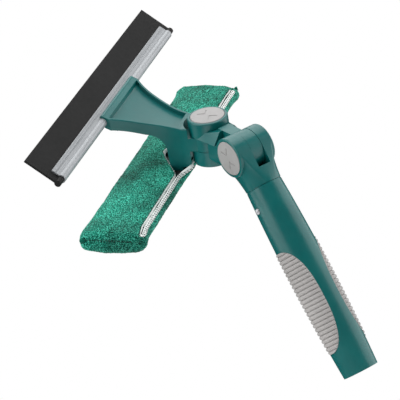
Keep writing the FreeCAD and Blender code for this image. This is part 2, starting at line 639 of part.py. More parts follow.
def make_head_bracket():
    lip = size("rail_half_thick") + 1.2
    cover = size("rail_tube_radius") + 1.3
    side = [blade_point(5.4, 0), blade_point(5.4, lip),
            (blade_point(6.1, 4.6), blade_point(8.0, cover))] + tray_top(0) + [
        Vector(0, -5, size("post_foot")), Vector(0, size("post_front") + 0.6, size("post_foot")),
        Vector(0, size("post_front"), -6),
        (Vector(0, -37.6, 4.2), Vector(0, -47, 10)), blade_point(14.9, -2.9), blade_point(9.7, -2.9)]
    profile = prism(side, Vector(2 * HUGE, 0, 0))
    profile.translate(Vector(-HUGE, 0, 0))
    plan = prism(tray_outline(0, -81, -10, -HUGE, 4.5), Vector(0, 0, 2 * HUGE))
    top_line = outline(tray_top(0) + [Vector(0, -5, 0), Vector(0, -70.5, 0)])

    def on_top(edge):
        middle = edge.valueAt((edge.FirstParameter + edge.LastParameter) / 2)
        spot = Part.Vertex(Vector(0, middle.y, middle.z))
        return middle.z > 5 and edge.BoundBox.YLength > 3 and spot.distToShape(top_line)[0] < 0.02

    tray = shared(shaped(profile, "tray_side"), shaped(plan, "tray_plan"))
    tray = rounded(tray, size("edge_round"), on_top)

    # recess in the top, bounded by the rim
    front, depth = size("tray_front"), size("tray_depth")
    floor = prism([Vector(0, front, 31.7 - depth)] + tray_top(depth)
                  + [Vector(0, -5, HUGE), Vector(0, front, HUGE)], Vector(2 * HUGE, 0, 0))
    floor.translate(Vector(-HUGE, 0, 0))
    inner = prism(tray_outline(size("tray_rim"), front, -23, -HUGE, 0), Vector(0, 0, 2 * HUGE))
    recess = shared(shaped(floor, "recess_side"), shaped(inner, "recess_plan"))

    # seat of the rail, hollow cheeks around the link's ears, tongue between them
    seat = shaped(rail_envelope(0.05), "rail_seat")
    cheeks = [drum("cheek_radius", "-60", "link_low_gap+side_gap"),
              drum("cheek_radius", "link_top_gap-side_gap", "60")]
    foot = block("-40", "40", "-22.8", "0", "-60", "-23.2")
    tongue = joined(drum("tongue_radius", "link_low_gap+side_gap", "link_top_gap-side_gap"),
                    block("-head_half_width", "head_half_width", "-24", "0",
                          "link_low_gap+side_gap", "link_top_gap-side_gap"))
    solid = joined(less(tray, recess, seat, *cheeks, foot), tongue)
    pilots = [drum("1.6", "post_foot-1", "-12", x=str(place), y=str(BAR_SCREW_LINE))
              for place in BAR_SCREWS]
    clamp_pilots = [shaped(clamp_screw(place, 1.25, -3.2, 2.0), "clamp_pilot")
                    for place in CLAMP_SCREWS]
    finish(less(solid, *tongue_well("link_top_gap"), *pilots, *clamp_pilots), "head_bracket",
           HEAD_FRAME)


def rail_envelope(clearance):
    """The rail's outside, a little larger, in the head's frame."""
    reach = size("rail_length")
    tube = Part.makeCylinder(size("rail_tube_radius") + clearance, reach,
                             Vector(-reach / 2, size("bead_centre"), 0), X_AXIS)
    half = size("rail_half_thick") + clearance
    jaws = Part.makeBox(reach, size("bead_centre") + 10, 2 * half, Vector(-reach / 2, -10, -half))
    shape = tube.fuse(jaws)
    shape.Placement = HEAD_FRAME.inverse() * BLADE_FRAME
    return shape


def clamp_screw(place, radius, low, high):
    """A cylinder square to the blade behind the rail, in the head's frame."""
    shape = Part.makeCylinder(radius, high - low, Vector(place, CLAMP_SCREW_LINE, low))
    shape.Placement = HEAD_FRAME.inverse() * BLADE_FRAME * shape.Placement
    return shape


def make_rail_clamp():
    """Plate that holds the rail up in the bracket, and its two screws."""
    section = [Vector(0, 5.4, -2.4), Vector(0, 5.4, -3.6), Vector(0, 7.6, -5.0), Vector(0, 14, -5.0),
               Vector(0, 15.4, -4.2), Vector(0, 23.4, -4.2), Vector(0, 24, -1.0), Vector(0, 14.9, -3.05)]
    half = size("clamp_half_width") - 8
    plate = prism(section, Vector(2 * half, 0, 0))
    plate.translate(Vector(-half, 0, 0))
    tube = drum("rail_tube_radius+0.05", "-60", "60", "x", y="bead_centre")
    holes = [drum("1.4", "-10", "10", x=str(place), y=str(CLAMP_SCREW_LINE)) for place in CLAMP_SCREWS]
    finish(less(shaped(plate, "plate"), tube, *holes), "rail_clamp", BLADE_FRAME)

    pieces = []
    for place in CLAMP_SCREWS:
        centre = {"x": str(place), "y": str(CLAMP_SCREW_LINE)}
        slot = drum("0.9", "-6", "-5", **centre)
        pieces.append(less(joined(drum("2.5", "-5.8", "-4.2", **centre),
                                  drum("1.25", "-4.3", "1.8", **centre)), slot))
    finish(joined(*pieces), "rail_clamp_screws", BLADE_FRAME)


# ---------------------------------------------------------------- blade
def make_rail():
    """Aluminium extrusion: two flat jaws with a fine groove, and a tube around the rubber's bead."""
    half, slot = size("rail_half_thick"), size("rail_half_slot")
    groove, depth = size("rail_groove_place"), size("rail_groove_depth")
    tube, bore, centre = size("rail_tube_radius"), size("rail_bore_radius"), size("bead_centre")
    outer, inner = (centre - math.sqrt(tube ** 2 - half ** 2), centre - math.sqrt(bore ** 2 - slot ** 2))
    body = new_body("blade_rail")
    sketch = sketch_on(body, "rail_section", "YZ_Plane")
    draw(sketch, [
        Vector(0, slot), Vector(0, half - 0.4), Vector(0.4, half), Vector(groove - depth, half),
        Vector(groove, half - depth), Vector(groove + depth, half), Vector(outer, half),
        (Vector(centre + tube, 0), Vector(outer, -half)), Vector(0.4, -half), Vector(0, 0.4 - half),
        Vector(0, -slot), Vector(inner, -slot), (Vector(centre + bore, 0), Vector(inner, slot))])
    pad(body, sketch, "rail_length", Midplane=True)
    finish(body, "blade_rail", BLADE_FRAME)


def make_rubber():
    """Rubber blade with a square lip in front and a bead along its back edge."""
    half, bead, centre = size("rubber_half_thick"), size("bead_radius"), size("bead_centre")
    neck = centre - math.sqrt(bead ** 2 - half ** 2)
    reach = -size("rubber_reach")
    body = new_body("rubber_blade")
    sketch = sketch_on(body, "rubber_section", "YZ_Plane")
    draw(sketch, [Vector(reach, half), Vector(neck, half), (Vector(centre + bead, 0), Vector(neck, -half)),
                  Vector(reach, -half)])
    pad(body, sketch, "rubber_length", Midplane=True)
    finish(body, "rubber_blade", BLADE_FRAME)


# ---------------------------------------------------------------- washer
def rounded_slab(half_length, half_width, low, high, corner, middle):
    """A slab with rounded corners in plan, in the head's frame."""
    bow = corner * (1 - math.sqrt(0.5))
    points = []
    for side_x, side_y in ((1, 1), (-1, 1), (-1, -1), (1, -1)):
        along = Vector(side_x * half_length, middle + side_y * (half_width - corner), low)
        across = Vector(side_x * (half_length - corner), middle + side_y * half_width, low)
        centre = Vector(side_x * (half_length - bow), middle + side_y * (half_width - bow), low)
        pair = (along, across) if side_x * side_y > 0 else (across, along)
        points += [pair[0], (centre, pair[1])]
    return prism(points, Vector(0, 0, high - low))


def make_washer_bar():
    """Stiff bar inside the sleeve, screwed up into the foot of the bracket's post."""
    low, high = (size("washer_level") + side * size("bar_half_thick") for side in (-1, 1))
    middle = size("washer_middle")
    slab = rounded_slab(size("bar_half_length"), size("bar_half_width"), low, high,
                        size("bar_corner"), middle)
    foot = block("-head_half_width-2", "head_half_width+2", "post_front-0.05", "-20", "post_foot", "0")
    pockets = []
    for place in (-100, -68, -36, 36, 68, 100):       # sinks that save weight
        pocket = shaped(rounded_slab(13.5, 19, low - 1, low + 6, 4, middle), "sink")
        pocket.Placement = Placement(Vector(place, 0, 0), Rotation())
        pockets.append(pocket)
    holes = [drum("2.2", "-50", "0", x=str(place), y=str(BAR_SCREW_LINE)) for place in BAR_SCREWS]
    finish(less(shaped(slab, "slab"), foot, *pockets, *holes), "washer_bar", HEAD_FRAME)

    pieces = []
    for place in BAR_SCREWS:
        centre = {"x": str(place), "y": str(BAR_SCREW_LINE)}
        pieces.append(joined(drum("1.6", "washer_level-bar_half_thick-0.1", "-13", **centre),
                             drum("3.6", "washer_level-bar_half_thick-1.8",
                                  "washer_level-bar_half_thick", **centre)))
    finish(joined(*pieces), "washer_bar_screws", HEAD_FRAME)


def make_sleeve():
    """Microfibre sleeve around the bar, open along its upper inner edge for the post."""
    middle, level = size("washer_middle"), size("washer_level")
    half_thick = size("sleeve_half_thick")
    blank = rounded_slab(size("sleeve_half_length"), size("sleeve_half_width"), level - half_thick,
                         level + half_thick, 13, middle)
    rims = [edge for edge in blank.Edges
            if abs(abs(edge.BoundBox.Center.z - level) - half_thick) < 0.01]
    blank = blank.makeFillet(half_thick - 1.5, rims)
    gap = size("sleeve_gap")
    low, high = (level + side * (size("bar_half_thick") + gap) for side in (-1, 1))
    cavity = rounded_slab(size("bar_half_length") + gap, size("bar_half_width") + gap, low, high,
                          size("bar_corner") + gap, middle)
    heads = rounded_slab(16, 8, low - 2.2, low + 1, 2, BAR_SCREW_LINE)
    mouth = Part.makeBox(2 * size("opening_half"), 40, 40,
                         Vector(-size("opening_half"), size("post_front") - 7, level))
    shift = size("sleeve_shift")
    blank.translate(Vector(shift, 0, 0))
    finish(shaped(blank.cut(cavity).cut(heads).cut(mouth), "washer_sleeve"), "washer_sleeve", HEAD_FRAME)

    # woven tape along the closed edge, one strip on each side of the opening
    round_ = half_thick - 1.5
    centre_y = middle + size("sleeve_half_width") - round_
    centre_z = level + half_thick - round_
    strips = []
    reach = size("sleeve_half_length") - 14
    inner_end = size("opening_half") + 2
    for start, end in ((shift - reach, -inner_end), (inner_end, shift + reach)):
        length = end - start
        strip = Part.makeCylinder(round_ + 0.8, length, Vector(start, centre_y, centre_z), X_AXIS, 360)
        strip = strip.cut(Part.makeCylinder(round_, length, Vector(start, centre_y, centre_z), X_AXIS))
        wedge = prism([Vector(start, centre_y, centre_z), Vector(start, centre_y + 15, centre_z + 10),
                       Vector(start, centre_y + 6, centre_z + 18)], Vector(length, 0, 0))
        strips.append(shaped(strip.common(wedge), "tape"))
    finish(joined(*strips), "sleeve_tape", HEAD_FRAME)


# ---------------------------------------------------------------- assembly
make_handle_tube()
make_grips()
make_neck_fork()
make_latch()
make_pivot_hardware("handle_pivot", "neck_front_gap", "neck_front_face", "neck_rear_face", TILT_FRAME)
make_link_arm()
make_pivot_hardware("head_swivel", "link_top_gap", "link_top_face", "link_low_face", SWIVEL_FRAME)
make_head_bracket()
make_rail_clamp()
make_rail()
make_rubber()
make_washer_bar()
make_sleeve()
document.recompute()

for item in document.Objects:
    if "Invalid" in item.State or "Error" in item.State:
        raise RuntimeError(f"{item.Label} ({item.Name}) did not recompute: {item.State}")
for item in parts:
    if item.Shape.isNull() or not item.Shape.isValid() or not item.Shape.Solids:
        raise RuntimeError(f"{item.Label} has no valid solid")

os.makedirs("parts", exist_ok=True)
for item in parts:
    item.Shape.exportStep(f"parts/{item.Label}.step")
    print(f"{item.Label:28s} {len(item.Shape.Solids):2d} solid {item.Shape.Volume / 1000:8.2f} cm3")
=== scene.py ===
"""Looks of a window cleaning squeegee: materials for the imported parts, and a soft microfibre washer.

Lengths in the sections that build the washer are millimetres in the head's own frame, where X runs
along the washer, Y from the blade towards the swivel, and Z along the swivel's axis.
"""
import json
import math

import bpy
from mathutils import Matrix, Vector, noise
from mathutils.bvhtree import BVHTree


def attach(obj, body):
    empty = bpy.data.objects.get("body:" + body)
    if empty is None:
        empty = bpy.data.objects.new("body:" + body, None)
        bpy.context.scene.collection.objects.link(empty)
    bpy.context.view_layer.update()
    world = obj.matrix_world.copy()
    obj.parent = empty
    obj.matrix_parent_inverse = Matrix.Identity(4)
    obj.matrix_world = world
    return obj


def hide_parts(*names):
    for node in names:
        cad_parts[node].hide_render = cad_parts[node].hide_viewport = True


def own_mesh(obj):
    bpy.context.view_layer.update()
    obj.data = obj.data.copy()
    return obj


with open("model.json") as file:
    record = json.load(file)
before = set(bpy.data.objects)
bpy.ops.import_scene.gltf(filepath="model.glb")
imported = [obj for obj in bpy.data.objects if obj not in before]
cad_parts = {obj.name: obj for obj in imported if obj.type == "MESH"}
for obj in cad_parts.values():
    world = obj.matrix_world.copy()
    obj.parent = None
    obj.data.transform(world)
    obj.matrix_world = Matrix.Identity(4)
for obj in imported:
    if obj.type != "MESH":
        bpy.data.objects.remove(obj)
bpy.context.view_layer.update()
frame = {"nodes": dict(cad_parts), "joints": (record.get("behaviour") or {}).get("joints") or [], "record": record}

MM = 0.001
NODES = frame["nodes"]
JOINTS = {joint["name"]: joint for joint in frame["joints"]}

# ---------------------------------------------------------------- frames
SWIVEL_AXIS = Vector(JOINTS["head_swivel"]["axis"]).normalized()
SWIVEL_POINT = Vector(JOINTS["head_swivel"]["pos_m"])
HEAD_TURN = math.radians(36)
BLADE_SLOPE = math.radians(38.8)
HEAD_X = Matrix.Rotation(HEAD_TURN, 3, SWIVEL_AXIS) @ Vector((1, 0, 0))
HEAD_Y = SWIVEL_AXIS.cross(HEAD_X)
HEAD_AXES = Matrix((HEAD_X, HEAD_Y, SWIVEL_AXIS)).transposed()
BLADE_AXES = HEAD_AXES @ Matrix.Rotation(-BLADE_SLOPE, 3, "X")


def to_row(point):
    """A point of the head's frame, in millimetres, as a point of the row frame in metres."""
    return SWIVEL_POINT + HEAD_AXES @ (Vector(point) * MM)


def to_head(point):
    return HEAD_AXES.transposed() @ (Vector(point) - SWIVEL_POINT) / MM


def mix(a, b, share):
    return a + (b - a) * share


def smooth(value):
    value = min(max(value, 0.0), 1.0)
    return value * value * (3 - 2 * value)


def grid_faces(count, wide):
    """Quads between the rows of a grid that has a number of points in each row."""
    return [(r * wide + c, r * wide + c + 1, (r + 1) * wide + c + 1, (r + 1) * wide + c)
            for r in range(count - 1) for c in range(wide - 1)]


def mesh_piece(name, points, faces, materials, body="head"):
    """A new object from points of the head's frame; it rides on a body and is shaded smooth."""
    mesh = bpy.data.meshes.new(name)
    mesh.from_pydata([to_row(point) for point in points], [], faces)
    mesh.update()
    for material in materials:
        mesh.materials.append(material)
    for face in mesh.polygons:
        face.use_smooth = True
    piece = bpy.data.objects.new(name, mesh)
    bpy.context.scene.collection.objects.link(piece)
    if body:
        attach(piece, body)
    return piece


# ---------------------------------------------------------------- materials
class Material:
    """A node material with one Principled shader, and short names for the nodes it needs."""

    def __init__(self, name, axes=None):
        self.material = bpy.data.materials.new(name)
        self.material.use_nodes = True
        self.tree = self.material.node_tree
        self.shader = self.tree.nodes["Principled BSDF"]
        self.place = self.add("ShaderNodeTexCoord").outputs["Object"]
        if axes is not None:                       # turns the texture into another frame
            turn = self.add("ShaderNodeMapping")
            turn.inputs["Rotation"].default_value = axes.transposed().to_euler("XYZ")
            self.link(self.place, turn.inputs["Vector"])
            self.place = turn.outputs["Vector"]
        self.normal = None

    def add(self, kind, **values):
        node = self.tree.nodes.new(kind)
        for name, value in values.items():
            setattr(node, name, value)
        return node

    def link(self, source, target):
        self.tree.links.new(source, target)

    def set(self, **values):
        for name, value in values.items():
            self.shader.inputs[name.replace("_", " ")].default_value = value
        return self

    def stretched(self, scale):
        """The texture's place, stretched along its axes."""
        node = self.add("ShaderNodeMapping")
        node.inputs["Scale"].default_value = scale
        self.link(self.place, node.inputs["Vector"])
        return node.outputs["Vector"]

    def noise(self, scale, detail=3.0, rough=0.55, place=None):
        node = self.add("ShaderNodeTexNoise")
        node.inputs["Scale"].default_value = scale
        node.inputs["Detail"].default_value = detail
        node.inputs["Roughness"].default_value = rough
        self.link(place or self.place, node.inputs["Vector"])
        return node.outputs["Fac"]

    def cells(self, scale, place=None, feature="F1"):
        node = self.add("ShaderNodeTexVoronoi", feature=feature)
        node.inputs["Scale"].default_value = scale
        self.link(place or self.place, node.inputs["Vector"])
        return node.outputs["Distance"]

    def ramp(self, source, stops):
        """stops are (position, value), a value being a grey level or a colour."""
        node = self.add("ShaderNodeValToRGB")
        elements = node.color_ramp.elements
        while len(elements) < len(stops):
            elements.new(0.5)
        for element, (position, value) in zip(elements, stops):
            element.position = position
            element.color = (value,) * 3 + (1,) if isinstance(value, float) else tuple(value) + (1,)
        self.link(source, node.inputs["Fac"])
        return node.outputs["Color"]

    def math(self, operation, first, second):
        node = self.add("ShaderNodeMath", operation=operation)
        for socket, value in zip(node.inputs, (first, second)):
            if isinstance(value, float):
                socket.default_value = value
            else:
                self.link(value, socket)
        return node.outputs["Value"]

    def blend(self, share, first, second, kind="MIX"):
        node = self.add("ShaderNodeMix", data_type="RGBA", blend_type=kind)
        if isinstance(share, float):
            node.inputs["Factor"].default_value = share
        else:
            self.link(share, node.inputs["Factor"])
        for socket, value in (("A", first), ("B", second)):
            target = [item for item in node.inputs if item.name == socket and item.type == "RGBA"][0]
            if isinstance(value, tuple):
                target.default_value = value + (1,)
            else:
                self.link(value, target)
        return [item for item in node.outputs if item.type == "RGBA"][0]

    def bump(self, height, distance, strength=1.0):
        """Adds relief; distance is the height of the relief in metres."""
        node = self.add("ShaderNodeBump")
        node.inputs["Strength"].default_value = strength
        node.inputs["Distance"].default_value = distance
        self.link(height, node.inputs["Height"])
        if self.normal is not None:
            self.link(self.normal, node.inputs["Normal"])
        self.normal = node.outputs["Normal"]
        self.link(self.normal, self.shader.inputs["Normal"])
        return self

    def colour(self, source):
        self.link(source, self.shader.inputs["Base Color"])
        return self

    def rough(self, source):
        self.link(source, self.shader.inputs["Roughness"])
        return self


def linear(red, green, blue):
    """A colour given in 8-bit display values, as linear values."""
    return tuple(((value / 255 + 0.055) / 1.055) ** 2.4 if value > 10 else value / 255 / 12.92
                 for value in (red, green, blue))


def moulded(name, dark, light, roughness, grain=0.000012, specular=0.5):
    """Moulded plastic or rubber: cloudy tint, fine spark-eroded grain, faint handling marks."""
    made = Material(name)
    made.colour(made.ramp(made.noise(38.0, 4.0), [(0.3, dark), (0.72, light)]))
    marks = made.noise(210.0, 5.0, 0.7)
    low, high = roughness
    made.rough(made.ramp(marks, [(0.32, low), (0.7, high)]))
    made.bump(made.noise(2600.0, 2.0), grain)
    made.bump(made.noise(60.0, 2.0), grain * 3, 0.4)
    return made.set(Specular_IOR_Level=specular).material


def brushed(name, dark, light, axes, stretch, roughness, metallic=1.0):
    """Drawn metal, with fine lines along one axis of a frame."""
    made = Material(name, axes)
    lines = made.noise(1.0, 3.0, 0.6, made.stretched(stretch))
    soft = made.noise(45.0, 3.0)
    base = made.ramp(lines, [(0.3, dark), (0.7, light)])
    made.colour(made.blend(made.ramp(soft, [(0.35, 0.0), (0.8, 0.35)]), base, light))
    low, high = roughness
    made.rough(made.ramp(lines, [(0.3, low), (0.75, high)]))
    made.bump(lines, 0.000008, 0.4)
    return made.set(Metallic=metallic).material


TEAL = moulded("teal_plastic", linear(0, 94, 93), linear(0, 103, 101), (0.28, 0.38), specular=0.6)
GREY = moulded("button_plastic", linear(155, 153, 152), linear(166, 164, 163), (0.42, 0.52))
SOFT_GRIP = moulded("grip_rubber", linear(164, 161, 159), linear(178, 175, 173),
                    (0.5, 0.62), 0.00002, 0.4)
BLACK_RUBBER = moulded("blade_rubber", linear(20, 20, 20), linear(25, 25, 25),
                       (0.5, 0.6), 0.000008, 0.22)
DARK_PLASTIC = moulded("dark_plastic", linear(22, 26, 26), linear(32, 36, 36), (0.4, 0.5))
ALUMINIUM = brushed("aluminium_rail", linear(146, 149, 152), linear(186, 189, 192), BLADE_AXES,
                    (6.0, 1500.0, 1500.0), (0.42, 0.55), 0.45)
STEEL = brushed("zinc_steel", linear(178, 180, 184), linear(214, 215, 218), Matrix.Identity(3),
                (400.0, 400.0, 900.0), (0.26, 0.4), 0.45)


def microfibre(name, levels, tip_highlight):
    """Looped microfibre: painted shade in the gaps between loops, mid-green loops and painted highlights on the
    loop tips, in soft patches.
    """
    made = Material(name, HEAD_AXES)
    # the pile's speckle: painted shade in its dark gaps and painted highlights on its pale loops; also the pile's
    # relief
    speck = made.noise(1050.0, 1.6, 0.6)
    tips = made.cells(1300.0, made.place)
    patch = made.noise(34.0, 3.0)
    base = made.ramp(speck, levels)
    # pale at the cells' middles and darker towards their edges: painted highlights on the loop tips
    tip_highlights = made.ramp(tips, [(0.0, tip_highlight), (0.34, linear(0, 156, 128)), (0.75, linear(2, 84, 70))])
    mottled = made.blend(0.35, base, tip_highlights)
    shade = made.ramp(patch, [(0.3, linear(158, 158, 158)), (0.66, linear(255, 255, 255))])
    made.colour(made.blend(1.0, mottled, shade, "MULTIPLY"))
    made.rough(made.ramp(speck, [(0.2, 0.95), (0.8, 0.72)]))
    made.bump(speck, 0.0006, 0.8)
    return made.set(Sheen_Weight=0.08, Sheen_Roughness=0.45, Specular_IOR_Level=0.1).material


# the darkest level is painted shade between the loops; the palest level and the last colour are painted highlights
# on the loop tips
MICROFIBRE = microfibre("microfibre", [(0.38, linear(0, 30, 27)), (0.46, linear(0, 98, 80)),
                                       (0.53, linear(0, 162, 134)), (0.61, linear(112, 250, 220))],
                        linear(120, 246, 212))
# the fabric's inside face, in a darker copy of the microfibre: painted shade inside the sleeve
SHADED_INSIDE = microfibre("sleeve_inside_shaded", [(0.3, linear(0, 52, 44)), (0.7, linear(6, 116, 96))],
                    linear(30, 150, 128))


def woven(name, dark, light, pitch):
    """Narrow woven tape: crossed threads."""
    made = Material(name, HEAD_AXES)
    waves = []
    for axis in "XY":
        wave = made.add("ShaderNodeTexWave", wave_type="BANDS", bands_direction=axis)
        wave.inputs["Scale"].default_value = 1 / pitch / 2
        wave.inputs["Distortion"].default_value = 1.2
        made.link(made.place, wave.inputs["Vector"])
        waves.append(wave.outputs["Fac"])
    cloth = made.math("MULTIPLY", *waves)
    fuzz = made.noise(1200.0, 2.0)
    made.colour(made.ramp(made.math("ADD", cloth, fuzz), [(0.25, dark), (0.95, light)]))
    made.rough(made.ramp(fuzz, [(0.2, 0.9), (0.8, 0.75)]))
    made.bump(cloth, 0.00012, 0.8)
    return made.set(Sheen_Weight=0.2, Specular_IOR_Level=0.2).material


TAPE = woven("hem_tape", linear(196, 208, 202), linear(252, 253, 252), 0.0008)
THREAD = woven("stitch_thread", linear(2, 36, 32), linear(10, 70, 60), 0.0004)

FINISHES = {
    "teal_plastic": TEAL, "grey_plastic": GREY, "grip_rubber": SOFT_GRIP, "black_rubber": BLACK_RUBBER,
    "aluminium": ALUMINIUM, "steel": STEEL, "dark_plastic": DARK_PLASTIC, "microfibre": MICROFIBRE,
    "white_tape": TAPE,
}
for entry in frame["record"]["subparts"]:
    for slot in NODES[entry["node"]].material_slots:
        slot.material = FINISHES[entry["material_slot"]]

# ---------------------------------------------------------------- microfibre washer
SLEEVE_X, SLEEVE_Y, SLEEVE_Z = -3.0, -47.0, -30.0        # its middle
HALF_LENGTH, HALF_WIDTH, HALF_THICK = 136.5, 27.4, 8.6   # before the cloth fills out
CORNERS = (12.0, 8.0)                                    # the ends' rounding in plan, front and rear
NEAR_SPREAD, FAR_SPREAD = (0.6, 2.6), (1.6, 0.5)         # how much wider the ends are, front and rear
SEAM_RISE = 3.0                                          # the end seams, above mid-thickness
# side view of an end, from the plain sleeve out to its seam: (out, up) of the top and of the bottom
END_TOP = ((-9.0, 8.6), (-6.6, 8.2), (-4.9, 7.0), (-3.8, 5.3), (-3.2, 4.4), (-2.9, 3.6), (-2.8, 3.1))
END_LOW = ((-9.0, -8.6), (-5.4, -8.5), (-2.0, -7.4), (0.2, -5.0), (0.6, -2.0), (-0.5, 0.9), (-2.6, 2.8))
MIDDLE_HALF, MIDDLE_STEPS = 124.5, 84                    # the plain stretch between the ends
BOXY = 3.0                                               # exponent of the cross-section
OUTLINE_STEPS = 360                                      # points of a cross-section
CUT_SHARE = 0.93                                         # how much of a corner's rounding is used
SPREAD_FROM, SPREAD_OVER = 114.0, 16.0                   # where the ends start to be wider
EDGE_BLEND = 1.4                                         # how sharply the top passes into the bottom
SLIT_ACROSS = 23.4                                       # the slit's place on the upper inner edge
SLIT_DROP = (131.0, 136.0)                               # where the slit comes down to the end seam
EYE_MIDDLE, EYE_HALF, EYE_FRONT = -7.0, 34.0, 21.5       # the slit opened around the post
EYE_SHAPE, EYE_LIFT = 1.25, 1.2                          # its outline, and how far its front lip rises
EYE_BACK = 2.0                                           # how far the rear lip gives way all along it
# where the swivel pushes the rear lip out: places along it, width, and how far back and up
FLARE_X, FLARE_WIDTH, FLARE_BACK, FLARE_RISE = 16.5, 6.0, 10.6, 3.6
DIP_WIDTH, DIP = 9.0, 4.0                                # and down, behind the post
REAR_BAND, FRONT_BAND = 13.0, 9.0                        # how much of the fabric moves with each lip
GAP_FROM, GAP_OVER = 124.0, 8.0                          # where the two lips come together
AROUND, LIP_GAP = 52, 1.15                               # columns round the sleeve, half of the slit
SKIN = 2.2                                               # thickness of the fabric
SLACK, SLACK_FROM, SLACK_OVER = (0.5, 1.1), 90.0, 40.0   # how slack it is, middle and ends
WAVE, DIMPLE = 1.1, 0.45                                 # heights of its slow waves and its dimples
TUFT, KNOT, PILE_RISE = 0.34, 0.26, 0.15                 # heights of its pile


def stations():
    """Places along the washer, closer at the ends: (x, up) of the top and of the bottom."""
    ends = [((HALF_LENGTH + top[0], top[1]), (HALF_LENGTH + low[0], low[1]))
            for top, low in zip(END_TOP, END_LOW)]
    places = [((-top[0], top[1]), (-low[0], low[1])) for top, low in reversed(ends)]
    for step in range(MIDDLE_STEPS + 1):
        along = mix(-MIDDLE_HALF, MIDDLE_HALF, step / MIDDLE_STEPS)
        places.append(((along, HALF_THICK), (along, -HALF_THICK)))
    return places + ends


def section(top, low):
    """The closed outline of the cross-section at one place, from the slit over the top and round."""
    along = (top[0] + low[0]) / 2
    seam = SEAM_RISE * (1 - (top[1] - low[1]) / (2 * HALF_THICK))
    reach = []
    for corner, spread in zip(CORNERS, NEAR_SPREAD if along > 0 else FAR_SPREAD):
        turn = max(0.0, (abs(along) - HALF_LENGTH + corner) / corner)
        cut = corner * (1 - math.sqrt(max(0.0, 1 - turn * turn))) * CUT_SHARE
        reach.append(HALF_WIDTH + spread * smooth((abs(along) - SPREAD_FROM) / SPREAD_OVER) - cut)
    drop = smooth((abs(along) - SLIT_DROP[0]) / (SLIT_DROP[1] - SLIT_DROP[0]))
    power = 2 / BOXY
    start = math.asin((max(0.0, 1 - (SLIT_ACROSS / HALF_WIDTH) ** BOXY) ** (1 / BOXY)) ** (BOXY / 2))
    start = start * (1 - drop)
    points = []
    for step in range(OUTLINE_STEPS + 1):
        angle = start + 2 * math.pi * step / OUTLINE_STEPS
        cos, sin = math.cos(angle), math.sin(angle)
        half = top if sin > 0 else low
        across = math.copysign(abs(cos) ** power, cos)
        points.append(Vector((mix(low[0], top[0], smooth(0.5 + sin * EDGE_BLEND)) + SLEEVE_X,
                              SLEEVE_Y + mix(*reach, smooth(0.5 + across / 2)) * across,
                              SLEEVE_Z + seam + (half[1] - seam) * abs(sin) ** power)))
    return points


def eye(along):
    """How far the slit is opened at a place, from 0 to 1."""
    return max(0.0, 1 - (abs(along - EYE_MIDDLE) / EYE_HALF) ** EYE_SHAPE)


def flare(along):
    """How far the rear lip is pushed out at a place, from 0 to 1."""
    return sum(math.exp(-((along - place) / FLARE_WIDTH) ** 2) for place in (-FLARE_X, FLARE_X))


def sleeve_grid():
    """Points of the sleeve, one row per place along it, from the front lip round to the rear lip."""
    rows = []
    for top, low in stations():
        outline = section(top, low)
        along = (top[0] + low[0]) / 2 + SLEEVE_X
        lengths = [0.0]
        for first, second in zip(outline, outline[1:]):
            lengths.append(lengths[-1] + (second - first).length)
        gap = LIP_GAP * (1 - smooth((abs(along - SLEEVE_X) - GAP_FROM) / GAP_OVER))
        start, stop = gap + EYE_FRONT * eye(along), lengths[-1] - gap
        row, here = [], 0
        for step in range(AROUND + 1):
            target = mix(start, stop, step / AROUND)
            while lengths[here + 1] < target:
                here += 1
            share = (target - lengths[here]) / (lengths[here + 1] - lengths[here])
            point = outline[here].lerp(outline[here + 1], share)
            back = max(0.0, 1 - (stop - target) / REAR_BAND)
            point.y += (EYE_BACK * eye(along) + FLARE_BACK * flare(along)) * back ** 1.6
            point.z += FLARE_RISE * flare(along) * back ** 1.3
            point.z -= DIP * math.exp(-(along / DIP_WIDTH) ** 2) * back
            front = max(0.0, 1 - (target - start) / FRONT_BAND)
            point.z += EYE_LIFT * eye(along) * front ** 2
            row.append(point)
        rows.append(row)
    return rows


CLOTH_FRAMES, CLOTH_REACH = 20, 4.0                      # simulated frames, and how far cloth may move
OPEN_FROM, EDGE_HELD = 0.02, 0.35                        # what is held at the opening and in front


def inflate(piece, pinned):
    """Fills the cloth out by simulation, with some points held, and applies the result."""
    group = piece.vertex_groups.new(name="held")
    group.add(sorted(pinned), 1.0, "REPLACE")
    before = [vertex.co.copy() for vertex in piece.data.vertices]
    cloth = piece.modifiers.new("Cloth", "CLOTH")
    cloth.settings.quality = 6
    cloth.settings.mass = 0.25
    cloth.settings.tension_stiffness = 12
    cloth.settings.compression_stiffness = 12
    cloth.settings.bending_stiffness = 0.6
    cloth.settings.use_pressure = True
    cloth.settings.uniform_pressure_force = 4.0
    cloth.settings.vertex_group_mass = "held"
    cloth.settings.effector_weights.gravity = 0.0
    cloth.collision_settings.use_collision = False
    cloth.point_cache.frame_start, cloth.point_cache.frame_end = 1, CLOTH_FRAMES
    scene = bpy.context.scene
    for number in range(1, CLOTH_FRAMES + 1):
        scene.frame_set(number)
    held = bpy.data.meshes.new_from_object(piece.evaluated_get(bpy.context.evaluated_depsgraph_get()))
    after = [vertex.co.copy() for vertex in held.vertices]
    piece.modifiers.remove(cloth)
    piece.vertex_groups.clear()
    bpy.data.meshes.remove(held)
    scene.frame_set(1)
    limit = CLOTH_REACH * MM
    for vertex, old, new in zip(piece.data.vertices, before, after):
        move = new - old
        reach = move.length
        if reach > 0:
            move *= limit * math.tanh(reach / limit) / reach
        vertex.co = old + move


def apply_all(piece):
    """Applies the modifiers of a piece to its mesh."""
    graph = bpy.context.evaluated_depsgraph_get()
    mesh = bpy.data.meshes.new_from_object(piece.evaluated_get(graph))
    piece.modifiers.clear()
    old = piece.data
    piece.data = mesh
    bpy.data.meshes.remove(old)


